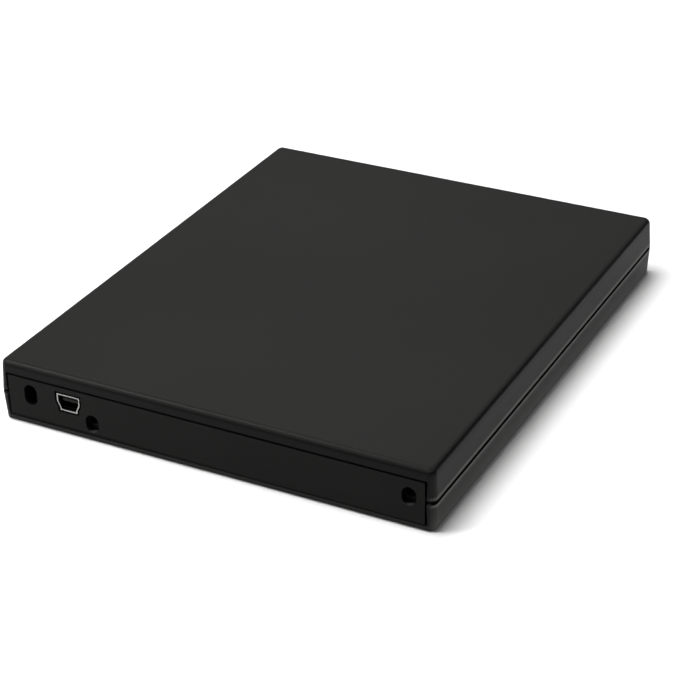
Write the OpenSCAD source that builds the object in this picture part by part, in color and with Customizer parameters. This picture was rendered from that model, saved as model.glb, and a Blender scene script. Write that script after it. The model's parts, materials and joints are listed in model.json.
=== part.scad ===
// Optical disc drive: slim drawer drive in a flat two-part plastic case.
// Units are mm. The origin is on the ground under the middle of the case,
// Z is up, the drawer comes out towards -Y and the sockets face +Y.

/* [Case] */
// Width over the two long sides
body_w = 140; // [139:0.5:160]
// Depth from the drawer face to the rear
body_d = 171.5; // [170:0.5:190]
// Height from the ground to the top
body_h = 20; // [19.6:0.1:26]
// Height of the parting line
part_z = 9.5; // [9:0.1:11]
// Thickness of the top and the bottom
skin = 1.8; // [1.2:0.1:2.2]
// Thickness of the side walls
wall = 2; // [1.6:0.1:2.4]
// Radius of the upright corners
corner_r = 2.2; // [1.5:0.1:3]
// Radius along the top edges
edge_r = 1.8; // [0.4:0.1:2]
// Radius along the bottom edges
base_edge_r = 0.4; // [0.4:0.1:1.5]
// How far the sides lean in towards the top
top_lean = 0.4; // [0:0.1:0.5]
// How far the sides lean in towards the bottom
base_lean = 0.4; // [0:0.1:0.8]
// Height of the parting groove
seam_w = 0.6; // [0.2:0.1:0.8]
// Depth of the parting groove
seam_deep = 1; // [0.4:0.1:1.2]
// Height of the notch at each rear end of the groove
notch_h = 1.1; // [0.8:0.1:1.4]
// Radius of the rubber feet
foot_r = 5; // [3:0.5:7]
// How far the feet stand out of the case
foot_out = 0.3; // [0.3:0.1:1]
// How far the feet are let into the case
foot_in = 0.8; // [0.4:0.1:1]

/* [Rear panel] */
// Thickness of the panel
panel_t = 2.35; // [1.5:0.05:2.5]
// How far the panel sits back from the rear
panel_set = 0.25; // [0.1:0.05:0.6]
// Upper edge of the opening for the panel
panel_top = 16.1; // [15.5:0.1:17.2]
// Lower edge of the opening for the panel
panel_low = 1.85; // [1.7:0.05:2]
// Case left beside the panel
panel_side = 2.35; // [2.2:0.05:3]
// Gap above and beside the panel
panel_gap = 0.65; // [0.2:0.05:0.7]
// Gap under the panel
panel_foot = 0.4; // [0.2:0.05:0.6]
// Height of the data socket's middle
port_z = 10.7; // [10.3:0.1:11.5]
// Height of the power socket's middle
dc_z = 10.4; // [9.8:0.1:11]
// Place of the power socket across the panel
dc_x = 59.4; // [58:0.1:61]
// Radius of the hole for the power plug
dc_hole_r = 2.2; // [2.2:0.1:3.2]
// How much taller than wide that hole is
dc_tall = 2.2; // [0:0.1:2.6]
// Place of the data socket across the panel
usb_x = 46.4; // [46:0.1:48]
// Width of the data socket
usb_w = 7.7; // [7.5:0.1:8]
// Height of the data socket
usb_h = 3.9; // [3.8:0.1:4.2]
// How far the data socket's lip flares up and down
usb_flare = 0.75; // [0.3:0.05:0.9]
// Gap round the data socket's lip
usb_gap = 0.6; // [0.2:0.05:0.7]
// Place of the lower screw across the panel
screw_a_x = 38.5; // [36:0.1:39.2]
// Height of the lower screw
screw_a_z = 6.6; // [6.4:0.1:8]
// Place of the upper screw across the panel
screw_b_x = -62.3; // [-63.2:0.1:-60]
// Height of the upper screw
screw_b_z = 10.7; // [9:0.1:12]
// Radius of the sunk ring round each screw hole
sink_r = 2.2; // [2:0.1:3.3]
// How far the sunk ring reaches down below the screw
sink_drop = 1.2; // [0:0.1:2]
// Depth of the sunk ring
sink_deep = 1.7; // [0.8:0.1:1.8]
// Radius of each screw head
head_r = 1.6; // [1.4:0.1:1.7]
// Radius of each screw shank
shank_r = 1; // [0.8:0.05:1.1]

/* [Drive box] */
// Width of the inner drive
drive_w = 128; // [127:0.5:129]
// Depth of the inner drive behind the drawer face
drive_len = 126.75; // [126:0.25:127.5]
// Height of the inner drive
drive_h = 12.7; // [12.6:0.1:13.2]
// Ribs that the drive rests on
rib_h = 1.1; // [0.9:0.1:1.3]
// Thickness of the lower sheet
sheet_t = 0.6; // [0.5:0.05:0.7]
// Thickness of the upper sheet
lid_t = 0.5; // [0.4:0.05:0.6]

/* [Drawer] */
// Thickness of the drawer face
bezel_t = 4.1; // [3.6:0.1:4.3]
// How far the face sits back from the front
bezel_set = 0.4; // [0.3:0.05:0.6]
// Gap round the drawer face
bezel_gap = 0.5; // [0.3:0.05:0.6]
// Case left beside the drawer face
bezel_side = 5.4; // [5.2:0.1:5.6]
// Radius of the corners of the drawer face
bezel_r = 1.2; // [0.5:0.1:1.6]
// Bevel round the outside of the drawer face
bezel_edge = 0.3; // [0.1:0.05:0.4]
// Radius of the dish for a full disc
dish_r = 60.7; // [60.4:0.1:61]
// Radius of the dish for a small disc
small_r = 40.6; // [40.3:0.1:42]
// Depth of the full dish
dish_deep = 1.5; // [1.2:0.1:1.7]
// Depth of the small dish below the full one
small_deep = 0.4; // [0.2:0.05:0.5]
// Clearance between the sliding strips
slide_gap = 0.2; // [0.15:0.05:0.3]
// Width of the eject button
button_w = 9; // [7:0.5:12]
// Height of the eject button
button_h = 3.4; // [2.8:0.1:4]
// Gap round the eject button
button_gap = 0.2; // [0.15:0.05:0.4]
// Stroke of the eject button
button_run = 0.7; // [0.4:0.1:0.8]

/* [Turntable and pickup] */
// Direction in which the pickup runs outward
mech_turn = 230; // [228:1:232]
// Radius of the centring hub
hub_r = 7.35; // [7.2:0.01:7.4]
// Radius of the turntable
table_r = 13.2; // [12:0.1:13.4]
// Radius of the motor
motor_r = 10.9; // [9:0.1:11]
// Radius of the two guide rods
rod_r = 1.25; // [1:0.05:1.4]
// Running clearance on rods and shafts
run_gap = 0.04; // [0.02:0.01:0.08]
// Radius of the lead screw
lead_r = 1; // [0.8:0.05:1.1]
// Distance of the lens from the centre at rest
lens_in = 23.5; // [23.3:0.1:24]
// Run of the pickup
sled_run = 32; // [28:0.5:32]
// Radius of the lens holder
lens_r = 3; // [2.4:0.1:3.2]

/* [Output] */
// Which piece to draw

/* [Hidden] */
$fn = 48;
front_y = -body_d / 2;
rear_y = body_d / 2;
in_w = body_w / 2 - wall;
in_d = body_d / 2 - wall;
base_z = foot_out;
deck_z = base_z + skin;
ceil_z = body_h - skin;

panel_half = body_w / 2 - panel_side - panel_gap;
panel_y = rear_y - panel_set - panel_t;
panel_z = panel_low + panel_foot;
panel_h = panel_top - panel_gap - panel_z;
sleeve_y = panel_y - 4.4;

drive_half = drive_w / 2;
drive_z = deck_z + rib_h;
drive_top = drive_z + drive_h;
bezel_half = body_w / 2 - bezel_side - bezel_gap;
bezel_y0 = front_y + bezel_set;
bezel_y1 = bezel_y0 + bezel_t;
bezel_z0 = drive_z + 0.1;
bezel_h = drive_h - 0.2;
drive_y0 = bezel_y1 + 0.25;
drive_y1 = drive_y0 + drive_len;
rib_x = drive_half - 18;
pan_z = drive_z + sheet_t;
pan_x = drive_half - sheet_t;
pan_y1 = drive_y1 - lid_t - sheet_t;
lid_z = drive_top - lid_t;

wall_top = drive_z + 9.7;
tray_z = drive_z + 6.4;
floor_z = tray_z + 0.9;
rim_z = floor_z + dish_deep;
tray_half = pan_x - 1.2;
tray_y1 = pan_y1 - 0.45;
disc_y = bezel_y1 + dish_r + 2.05;

sled_end = lens_in + sled_run + 1;
rod_v = 16;
lead_v = 24.3;

skirt_x0 = pan_x - 7;
skirt_x1 = skirt_x0 + 1.5;
shield_z = pan_z + 0.5;
shield_t = 0.4;
under_z = shield_z + shield_t;
under_y1 = disc_y + 36.5;
frame_z = under_z + 0.3;
frame_t = 2.2;
frame_top = frame_z + frame_t;
cover_t = 0.4;
cover_z = tray_z - cover_t;
guide_z = drive_z + 1.8;
guide_h = 4.2;
guide_t = 0.8;
rail_z = guide_z + guide_t + slide_gap;
rail_h = guide_h - 2 * guide_t - 2 * slide_gap;
rail_t = 0.4;
rail_x = pan_x - 1 - slide_gap;
run_z = rail_z + rail_t + slide_gap;
run_h = rail_h - 2 * rail_t - 2 * slide_gap;

main_z = pan_z + 1;
main_t = 1;
main_y0 = under_y1 + 6;
main_y1 = pan_y1 - 1.15;
socket_x = drive_half - 26;
socket_w = 24;
socket_h = 3.4;
socket_z = main_z + main_t;
board_t = 1.2;
board_z = port_z - usb_h / 2;
board_x = socket_x - socket_w / 2 - 14;
button_x = bezel_half - 18.1;
led_x = button_x - 10;
pin_x = led_x - 8;
mark_z = drive_z + 4.8;
post_x = skirt_x0 - 3.4;
post_y = bezel_y1 + 15.25;
lever_x = post_x - 9;
lever_y = post_y + 8;
seat_z = floor_z + 0.9;
table_z = seat_z - 1.4;
hub_foot_z = seat_z + 0.1;
hub_relief = 0.25;
rod_z = frame_z + 1.3;
lead_z = frame_z + 1.8;
sled_z = frame_z;
sled_top = cover_z - 0.3;
lens_z = sled_top + 0.4;
claw_z = seat_z + 1.42;
claw_h = 0.48;
claw_w = 2.4;
spring_x = 8;
spring_y0 = under_y1 - 12;
spring_y1 = under_y1 + 1;
spring_z = pan_z + 3;
ribbon_x = 24 - drive_half;
ribbon_w = 20;
ribbon_z = main_z + main_t + 1;

black = [0.12, 0.12, 0.12];
dark = [0.2, 0.2, 0.21];
steel = [0.72, 0.73, 0.75];
green = [0.1, 0.32, 0.2];
chip = [0.15, 0.15, 0.17];
white = [0.85, 0.85, 0.82];
gold = [0.8, 0.6, 0.2];
glass = [0.5, 0.65, 0.8];

// Shared shapes

// The four corners of the case, with the sides leaning in
module case_corners(lean) {
    x = body_w / 2 - corner_r - lean;
    y = body_d / 2 - corner_r - lean;
    for (sx = [-1, 1], sy = [-1, 1])
        translate([sx * x, sy * y, 0]) children();
}

// One corner with an upper edge rounded by e
module round_corner(e) {
    rotate_extrude()
        polygon(concat(
            [[0, 0]],
            [for (a = [0 : 15 : 90])
                [corner_r - e + e * cos(a), e * sin(a)]],
            [[0, e]]));
}

module upper_form() {
    hull() {
        translate([0, 0, part_z + seam_w / 2])
            case_corners(0) cylinder(r = corner_r, h = 0.1);
        translate([0, 0, body_h - edge_r])
            case_corners(top_lean) round_corner(edge_r);
    }
}

module lower_form() {
    hull() {
        translate([0, 0, part_z - seam_w / 2 - 0.1])
            case_corners(0) cylinder(r = corner_r, h = 0.1);
        translate([0, 0, base_z + base_edge_r])
            mirror([0, 0, 1]) case_corners(base_lean) round_corner(base_edge_r);
    }
}

// Flat land inside the parting groove
module seam_land(z, h) {
    w = body_w - 2 * seam_deep;
    d = body_d - 2 * seam_deep;
    translate([-w / 2, -d / 2, z]) cube([w, d, h]);
}

module case_inside(z0, z1) {
    translate([-in_w, -in_d, z0]) cube([2 * in_w, 2 * in_d, z1 - z0]);
}

module front_opening() {
    x = bezel_half + bezel_gap;
    z0 = bezel_z0 - bezel_gap;
    translate([-x, front_y - 1, z0]) cube([2 * x, wall + 2, bezel_h + 2 * bezel_gap]);
}

module rear_opening() {
    x = panel_half + panel_gap;
    translate([-x, panel_y - 0.25, panel_low])
        cube([2 * x, rear_y - panel_y + 1, panel_top - panel_low]);
}

// Notch beside the panel at each rear end of the parting groove
module rear_notches() {
    w = panel_side + 0.4;
    for (x = [-body_w / 2 - 0.3, body_w / 2 + 0.3 - w])
        translate([x, rear_y - seam_deep + 0.1, part_z - notch_h / 2]) cube([w, 2, notch_h]);
}

// A rounded rectangle in the upright plane, drawn towards +Y
module round_face(w, h, r, t) {
    translate([0, t, 0]) rotate([90, 0, 0]) linear_extrude(t) {
        translate([-w / 2 + r, 0]) square([w - 2 * r, h]);
        translate([-w / 2, r]) square([w, h - 2 * r]);
        for (x = [-w / 2 + r, w / 2 - r], y = [r, h - r])
            translate([x, y]) circle(r);
    }
}

// A cylinder along +Y
module rod_y(r, len) {
    rotate([-90, 0, 0]) cylinder(r = r, h = len);
}

// Frame of the pickup: x runs outward from the disc centre
module mech() {
    translate([0, disc_y, 0]) rotate([0, 0, mech_turn]) children();
}

// Outline of the metal cover over the pickup, smaller by i
module cover_outline(i) {
    u = sled_end - 0.5;
    polygon([[-19.5 + i, -22.5 + i], [u - i / 2, -22.5 + i], [u + 10 - i, -10 + i / 2],
        [u + 10 - i, 10 - i / 2], [u - i / 2, 21 - i], [-19.5 + i, 21 - i]]);
}

// Outline of the data socket, smaller by i and flared up and down by f
module usb_outline(i, f) {
    w = usb_w / 2 - i;
    n = usb_w / 2 - 0.95 - i;
    h = usb_h / 2 - i + f;
    k = -1.2 - f;
    polygon([[-w, h], [w, h], [w, 0.1], [n, k], [n, -h], [-n, -h], [-n, k], [-w, 0.1]]);
}

// An upright slot along +Y, of radius r, from d below its centre to u above it
module slot_y(r, d, u, len) {
    translate([0, 0, u]) rod_y(r, len);
    translate([0, 0, -d]) rod_y(r, len);
    translate([-r, 0, -d]) cube([2 * r, len, d + u]);
}

// The two places of the panel screws
module panel_screw_places() {
    translate([screw_a_x, 0, screw_a_z]) children();
    translate([screw_b_x, 0, screw_b_z]) children();
}

module board_screw_places() {
    for (x = [board_x + 5, dc_x + 1.1]) translate([x, drive_y1 + 12, 0]) children();
}

module lid_screw_places() {
    x = drive_half - 19;
    for (s = [-1, 1]) translate([s * x, 0, lid_z - 2]) children();
}

module cover_screw_places() {
    for (p = [[20, -21.4], [sled_end + 3.7, 14.8], [-18.5, 0]]) translate([p[0], p[1], 0]) children();
}

// Three places where the pickup frame is hung
module damper_places() {
    for (p = [[-16, -19], [-16, 17.5], [sled_end + 3.5, -15.5]]) translate([p[0], p[1], 0]) children();
}

module foot_places() {
    x = body_w / 2 - 14;
    y = body_d / 2 - 16;
    for (sx = [-1, 1], sy = [-1, 1]) translate([sx * x, sy * y, 0]) children();
}

// Case

module top_cover() {
    color(black) union() {
        difference() {
            union() {
                upper_form();
                seam_land(part_z, seam_w / 2 + 0.2);
            }
            case_inside(part_z - 1, ceil_z);
            front_opening();
            rear_opening();
            rear_notches();
        }
        for (s = [-1, 1])
            translate([s * rib_x - 1, drive_y0 + 8, drive_top])
                cube([2, drive_len - 16, ceil_z + 0.5 - drive_top]);
        for (y = [drive_y0 + 50, drive_y1 - 27])
            translate([-rib_x, y, drive_top]) cube([2 * rib_x, 2, ceil_z + 0.5 - drive_top]);
    }
}

module bottom_cover() {
    lip = 1;
    color(black) difference() {
        union() {
            difference() {
                union() {
                    lower_form();
                    seam_land(part_z - seam_w / 2 - 0.2, seam_w / 2 + 0.2);
                }
                case_inside(deck_z, part_z + 1);
                front_opening();
                rear_opening();
                rear_notches();
            }
            for (s = [-1, 1]) {
                translate([s > 0 ? in_w - lip : -in_w - 0.3, front_y + 14, part_z - 2])
                    cube([lip + 0.3, body_d - 35, 2 - 0.1]);
                translate([s > 0 ? in_w - lip : -in_w + 0.15, front_y + 14, part_z - 0.5])
                    cube([lip - 0.15, body_d - 35, 1.9]);
            }
            for (s = [-1, 1], x = [rib_x - 2, rib_x - 30])
                translate([s * x - 1.25, drive_y0 + 6, deck_z - 0.5])
                    cube([2.5, drive_len - 12, drive_z - deck_z + 0.5]);
            for (x = [-in_w - 0.3, drive_half + 0.2], y = [drive_y0 + 20, drive_y0 + 81, drive_y1 - 13])
                translate([x, y, deck_z - 0.5])
                    cube([in_w + 0.1 - drive_half, 2, 6]);
            translate([screw_a_x - 3.2, sleeve_y - 10.1, deck_z - 0.5])
                cube([6.4, 10, screw_a_z + 3.2 - deck_z + 0.5]);
            translate([-in_w + 0.2, sleeve_y - 10.1, deck_z - 0.5])
                cube([screw_b_x + 3.2 + in_w - 0.2, 10, screw_b_z + 3.2 - deck_z + 0.5]);
            board_screw_places() translate([0, 0, deck_z - 0.5])
                cylinder(r = 2.6, h = board_z - board_t - deck_z + 0.5);
        }
        panel_screw_places() translate([0, sleeve_y - 8, 0]) rod_y(shank_r + run_gap, 9);
        board_screw_places() translate([0, 0, deck_z + 0.9])
            cylinder(r = 0.85 + run_gap, h = 10);
        foot_places() cylinder(r = foot_r + 0.15, h = base_z + foot_in);
    }
}

module rear_panel() {
    color(black) difference() {
        union() {
            translate([-panel_half, panel_y, panel_z]) cube([2 * panel_half, panel_t, panel_h]);
            translate([-panel_half + 4, rear_y - wall - 1.3, panel_top - 2])
                cube([2 * panel_half - 8, 1.2, 3]);
            panel_screw_places() translate([0, sleeve_y, 0]) rod_y(3.3, 4.6);
        }
        translate([dc_x, panel_y - 3, dc_z])
            slot_y(dc_hole_r, dc_tall / 2, dc_tall / 2, panel_t + 4);
        translate([usb_x, rear_y + 1, port_z]) rotate([90, 0, 0])
            linear_extrude(5) usb_outline(-usb_gap, usb_flare);
        panel_screw_places() {
            translate([0, sleeve_y - 1, 0]) rod_y(shank_r + 0.1, 4);
            translate([0, sleeve_y + 1, 0]) rod_y(head_r + 0.15, 9);
            translate([0, panel_y + panel_t - sink_deep, 0]) slot_y(sink_r, sink_drop, 0.05, 4);
        }
    }
}

module rear_screws() {
    color(dark) panel_screw_places() difference() {
        union() {
            translate([0, sleeve_y - 7.5, 0]) rod_y(shank_r, 8.6);
            translate([0, sleeve_y + 1, 0]) rod_y(head_r, 1.5);
        }
        for (a = [0, 90]) rotate([0, a, 0])
            translate([-1, sleeve_y + 1.7, -0.2]) cube([2, 2, 0.4]);
    }
}

module rubber_feet() {
    color(dark) foot_places() cylinder(r = foot_r, h = base_z + foot_in);
}

module bridge_board() {
    y0 = drive_y1 + 6.25;
    color(green) difference() {
        translate([board_x, y0, board_z - board_t])
            cube([in_w - 1.5 - board_x, panel_y - 1.5 - y0, board_t]);
        translate([board_x - 1, sleeve_y - 11.5, 0]) cube([screw_a_x + 4.9 - board_x, 40, 30]);
        translate([dc_x - 3.2, panel_y - 12, 0]) cube([6.4, 40, 30]);
        board_screw_places() cylinder(r = 1, h = 30);
    }
}

module bridge_chips() {
    color(chip) {
        translate([board_x + 14, drive_y1 + 11, board_z]) cube([7, 7, 1]);
        translate([board_x + 26, drive_y1 + 12, board_z]) cube([5, 4, 1.2]);
        translate([board_x + 36, drive_y1 + 14, board_z]) cylinder(r = 2.5, h = 5);
        translate([board_x + 8, drive_y1 + 17, board_z]) cube([4, 2.4, 1]);
    }
}

module board_screws() {
    color(steel) board_screw_places() {
        translate([0, 0, board_z]) cylinder(r = 1.9, h = 1.2);
        translate([0, 0, deck_z + 1.2]) cylinder(r = 0.85, h = board_z - deck_z - 1);
    }
}

module bridge_connector() {
    color(black) translate([socket_x - socket_w / 2, drive_y1 + 0.75, socket_z])
        cube([socket_w, 5.5, socket_h]);
}

module dc_jack() {
    y1 = panel_y - 0.15;
    y0 = y1 - 11;
    color(dark) union() {
        difference() {
            union() {
                translate([dc_x - 2.9, y0, dc_z - dc_tall / 2 - 2.5]) cube([5.8, 11, dc_tall + 5]);
                translate([dc_x - 4.5, y0, board_z]) cube([9, 6, 0.6]);
            }
            translate([dc_x, y0 + 1.5, dc_z]) rod_y(2.1, 12);
        }
        translate([dc_x, y0 + 1, dc_z]) rod_y(0.825, 9);
    }
}

module usb_shell() {
    mouth = rear_y - panel_set - 0.15;
    color(steel) difference() {
        union() {
            translate([usb_x, mouth, port_z]) rotate([90, 0, 0])
                linear_extrude(9.3) usb_outline(0, 0);
            translate([usb_x, mouth, port_z]) rotate([90, 0, 0])
                linear_extrude(1.15) usb_outline(0, usb_flare);
        }
        translate([usb_x, mouth + 1, port_z]) rotate([90, 0, 0])
            linear_extrude(9.9) usb_outline(0.4, 0);
        translate([usb_x, mouth + 1, port_z]) rotate([90, 0, 0])
            linear_extrude(1.8) usb_outline(0.4, usb_flare);
    }
}

module usb_tongue() {
    back = rear_y - panel_set - 9.05;
    color(black) union() {
        translate([usb_x - 2.4, back, port_z - 1.4]) cube([4.8, 2.3, 2.9]);
        translate([usb_x - 2.4, back, port_z + 0.2]) cube([4.8, 7.9, 0.8]);
    }
}

// Drive box

module drive_pan() {
    color(steel) difference() {
        union() {
            translate([-drive_half, drive_y0, drive_z])
                cube([drive_w, drive_len - lid_t, sheet_t]);
            for (x = [-drive_half, pan_x])
                translate([x, drive_y0, drive_z])
                    cube([sheet_t, drive_len - lid_t, wall_top - drive_z]);
            translate([-pan_x - 0.2, pan_y1, drive_z])
                cube([2 * pan_x + 0.4, sheet_t, lid_z - drive_z]);
            for (x = [14 - drive_half, 0, drive_half - 14], y = [main_y0 + 3, main_y1 - 3.5])
                translate([x, y, drive_z])
                    cylinder(r = 1.6, h = main_z - drive_z);
            translate([spring_x - 2.6, spring_y1, drive_z]) cube([5.2, 1, 6]);
        }
        translate([socket_x - socket_w / 2 - 0.4, pan_y1 - 1, socket_z - 0.4])
            cube([socket_w + 0.8, 3, socket_h + 0.8]);
        lid_screw_places() translate([0, pan_y1 - 1, 0]) rod_y(0.8 + run_gap, 4);
    }
}

module drive_lid() {
    color(steel) difference() {
        union() {
            translate([-drive_half, drive_y0, lid_z]) cube([drive_w, drive_len, lid_t]);
            for (x = [-drive_half, pan_x])
                translate([x, drive_y0, wall_top + 0.1])
                    cube([sheet_t, drive_len - lid_t - sheet_t - 0.2, lid_z + 0.2 - wall_top]);
            translate([-drive_half, drive_y1 - lid_t, drive_z + 7])
                cube([drive_w, lid_t, drive_h - 7 - 0.2]);
        }
        lid_screw_places() translate([0, drive_y1 - 2, 0]) rod_y(0.8 + run_gap, 4);
    }
}

module lid_screws() {
    color(steel) lid_screw_places() {
        translate([0, pan_y1, 0]) rod_y(0.8, drive_y1 - pan_y1 + 0.1);
        translate([0, drive_y1, 0]) rod_y(1.7, 0.8);
    }
}

module main_board() {
    color(green) translate([-skirt_x0 + 0.9, main_y0, main_z])
        cube([2 * skirt_x0 - 1.8, main_y1 - main_y0, main_t]);
}

module main_chips() {
    color(chip) {
        translate([-12, main_y0 + 4, socket_z]) cube([12, 12, 1.4]);
        translate([6, main_y0 + 5, socket_z]) cube([8, 6, 1]);
        translate([-26, main_y0 + 9, socket_z]) cube([6, 5, 1]);
        translate([ribbon_x - ribbon_w / 2 - 1, main_y0, socket_z]) cube([ribbon_w + 2, 4, 0.9]);
    }
}

module drive_socket() {
    y0 = main_y1 - 6;
    color(black) translate([socket_x - socket_w / 2, y0, socket_z])
        cube([socket_w, drive_y1 + 0.5 - y0, socket_h]);
}

// A fixed channel on one side; s picks the side
module guide(s) {
    x = pan_x - 2.7;
    y0 = drive_y0 + 3;
    len = drive_len - 6.5;
    color(dark) mirror([s < 0 ? 1 : 0, 0, 0]) difference() {
        translate([x, y0, guide_z]) cube([2.7, len, guide_h]);
        translate([x - 1, y0 - 1, guide_z + guide_t])
            cube([2.7, len + 2, guide_h - 2 * guide_t]);
    }
}

module left_guide() { guide(-1); }

module right_guide() { guide(1); }

module latch_post() {
    color(steel) translate([post_x, post_y, pan_z]) cylinder(r = 1.1, h = 2.6);
}

// Flat cable that hangs in a shallow loop between board and drawer
module flex_ribbon() {
    span = main_y0 - under_y1;
    sag = 1;
    steps = 16;
    path = [for (i = [0 : steps])
        [under_y1 + span * i / steps, ribbon_z - sag * (1 - cos(360 * i / steps))]];
    color(gold) translate([ribbon_x - ribbon_w / 2, 0, 0])
        rotate([90, 0, 90]) linear_extrude(ribbon_w)
            polygon(concat(path,
                [for (i = [steps : -1 : 0]) [path[i][0], path[i][1] - 0.15]]));
}

// Drawer

module disc_tray() {
    color(black) difference() {
        union() {
            translate([-tray_half, bezel_y1, tray_z])
                cube([2 * tray_half, tray_y1 - bezel_y1, rim_z - tray_z]);
            for (x = [-skirt_x1, skirt_x0])
                translate([x, bezel_y1 + 2, under_z])
                    cube([skirt_x1 - skirt_x0, tray_y1 - bezel_y1 - 2, tray_z - under_z + 0.2]);
            for (s = [-1, 1])
                translate([s > 0 ? skirt_x1 - 0.3 : -rail_x + rail_t + slide_gap,
                    bezel_y1 + 3, run_z])
                    cube([rail_x - rail_t - slide_gap - skirt_x1 + 0.3,
                        tray_y1 - bezel_y1 - 3, run_h]);
            translate([2 - post_x, under_y1 - 1.5, under_z])
                cube([2 * post_x - 6, 1.5, tray_z - under_z + 0.2]);
            translate([spring_x - 3, spring_y0 - 1.2, under_z])
                cube([6, 1.2, tray_z - under_z + 0.2]);
            translate([lever_x, lever_y, under_z])
                cylinder(r = 1.2, h = tray_z - under_z + 0.2);
        }
        translate([0, disc_y, floor_z]) cylinder(r = dish_r, h = 10, $fn = 120);
        translate([0, disc_y, floor_z - small_deep]) cylinder(r = small_r, h = 10, $fn = 120);
        translate([0, 0, tray_z - 0.1]) mech() linear_extrude(10) cover_outline(2);
        mech() cover_screw_places() translate([0, 0, tray_z - 1]) cylinder(r = 0.75, h = 1.65);
        translate([spring_x - 2.4, under_y1 - 2, under_z - 0.1]) cube([4.8, 3, 4.6]);
        for (x = [-34, 34])
            translate([x, disc_y + dish_r - 6, floor_z - 0.3]) cylinder(r = 9, h = 10);
    }
}

module tray_bezel() {
    color(black) difference() {
        hull() {
            translate([0, bezel_y0, bezel_z0 + bezel_edge])
                round_face(2 * (bezel_half - bezel_edge), bezel_h - 2 * bezel_edge,
                    bezel_r - bezel_edge, bezel_t);
            translate([0, bezel_y0 + bezel_edge, bezel_z0])
                round_face(2 * bezel_half, bezel_h, bezel_r, bezel_t - bezel_edge);
        }
        translate([button_x, bezel_y0 - 1, mark_z - button_h / 2 - button_gap])
            round_face(button_w + 2 * button_gap, button_h + 2 * button_gap, 0.8, bezel_t + 2);
        translate([led_x, bezel_y0 - 1, mark_z]) rod_y(0.9, bezel_t + 2);
        translate([pin_x, bezel_y0 - 1, mark_z]) rod_y(0.65, bezel_t + 2);
        translate([-bezel_half - 1, bezel_y0 - 1, bezel_z0 + bezel_h - 2.2])
            cube([2 * bezel_half + 2, 1.4, 0.6]);
    }
}

module light_pipe() {
    color(glass) translate([led_x, bezel_y0, mark_z]) rod_y(0.85, bezel_t + 2);
}

module tray_board() {
    color(green) difference() {
        translate([lever_x - 24, bezel_y1 + 2.1, tray_z - 0.9])
            cube([skirt_x0 - lever_x + 23, 15.9, 0.9]);
        translate([lever_x, lever_y, 0]) cylinder(r = 2, h = 30);
    }
}

module eject_switch() {
    color(dark) {
        translate([button_x - 2.5, bezel_y1 + 3.2, tray_z - 4.2]) cube([5, 3, 3.3]);
        translate([led_x - 1.5, bezel_y1 + 2.1, tray_z - 3.2]) cube([3, 2, 2.3]);
    }
}

module pickup_cover() {
    color(steel) mech() translate([0, 0, cover_z]) difference() {
        linear_extrude(cover_t) cover_outline(0);
        translate([0, 0, -1]) cylinder(r = table_r + 0.7, h = 3);
        translate([10, -6, -1]) cube([lens_in + sled_run - 4, 12, 3]);
        translate([lens_in + sled_run + 6, 0, -1]) cylinder(r = 6, h = 3);
        cover_screw_places() translate([0, 0, -1]) cylinder(r = 0.75, h = 3);
    }
}

module cover_screws() {
    color(steel) mech() cover_screw_places() {
        translate([0, 0, cover_z - 0.8]) cylinder(r = 1.3, h = 0.8);
        translate([0, 0, cover_z - 0.1]) cylinder(r = 0.7, h = cover_t + 0.7);
    }
}

module tray_shield() {
    color(steel) difference() {
        translate([-skirt_x1, bezel_y1 + 2.5, shield_z])
            cube([skirt_x1 + post_x - 3, under_y1 - bezel_y1 - 2.5, shield_t]);
        translate([ribbon_x - 12, under_y1 - 6, shield_z - 1]) cube([24, 4, 3]);
    }
}

module mech_frame() {
    end = sled_end;
    nose = end + 7.9;
    color(dark) mech() difference() {
        union() {
            translate([-20, -23, frame_z]) cube([end + 22, 44.5, frame_t]);
            translate([end, -12.4, frame_z]) cube([nose + 2.1 - end, 24.8, frame_t]);
            translate([end + 3.5, -15.5, frame_z]) cylinder(r = 3, h = frame_t);
            for (u = [15, end - 3.5])
                translate([u, 21, frame_z]) cube([2, 5.3, lead_z + 1.1 - frame_z]);
        }
        translate([0, 0, frame_z - 1]) cylinder(r = motor_r + 0.3, h = 10);
        translate([14, -19.5, frame_z - 1]) cube([end - 14, 39, 10]);
        translate([end - 1, -10.2, frame_z - 1]) cube([nose + 1 - end, 20.4, 10]);
        translate([10, lead_v, lead_z]) rotate([0, 90, 0])
            cylinder(r = 0.7 + run_gap, h = 60);
    }
}

module frame_dampers() {
    color(black) mech() damper_places() translate([0, 0, frame_top])
        cylinder(r = 2.3, h = cover_z - frame_top);
}

module guide_rods() {
    color(steel) mech() for (v = [-rod_v, rod_v])
        translate([14, v, rod_z]) rotate([0, 90, 0])
            cylinder(r = rod_r, h = sled_end - 14);
}

module sled_motor() {
    color(steel) mech() translate([1.5, lead_v, lead_z]) rotate([0, 90, 0])
        cylinder(r = 2.05, h = 13.5);
}

module spindle_motor() {
    color(steel) mech() difference() {
        union() {
            translate([0, 0, frame_z - 0.25]) cylinder(r = motor_r + 1.1, h = 0.25);
            translate([0, 0, frame_z - 0.1]) cylinder(r = motor_r, h = 3);
        }
        translate([0, 0, frame_z + 0.2]) cylinder(r = 1 + run_gap, h = 10);
    }
}

module solenoid() {
    color(dark) union() {
        translate([lever_x - 13, post_y - 10, under_z]) cube([7, 12, 3.8]);
        translate([lever_x - 9.5, post_y + 1.9, under_z + 1.9]) rod_y(0.8, 2);
    }
}

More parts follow.
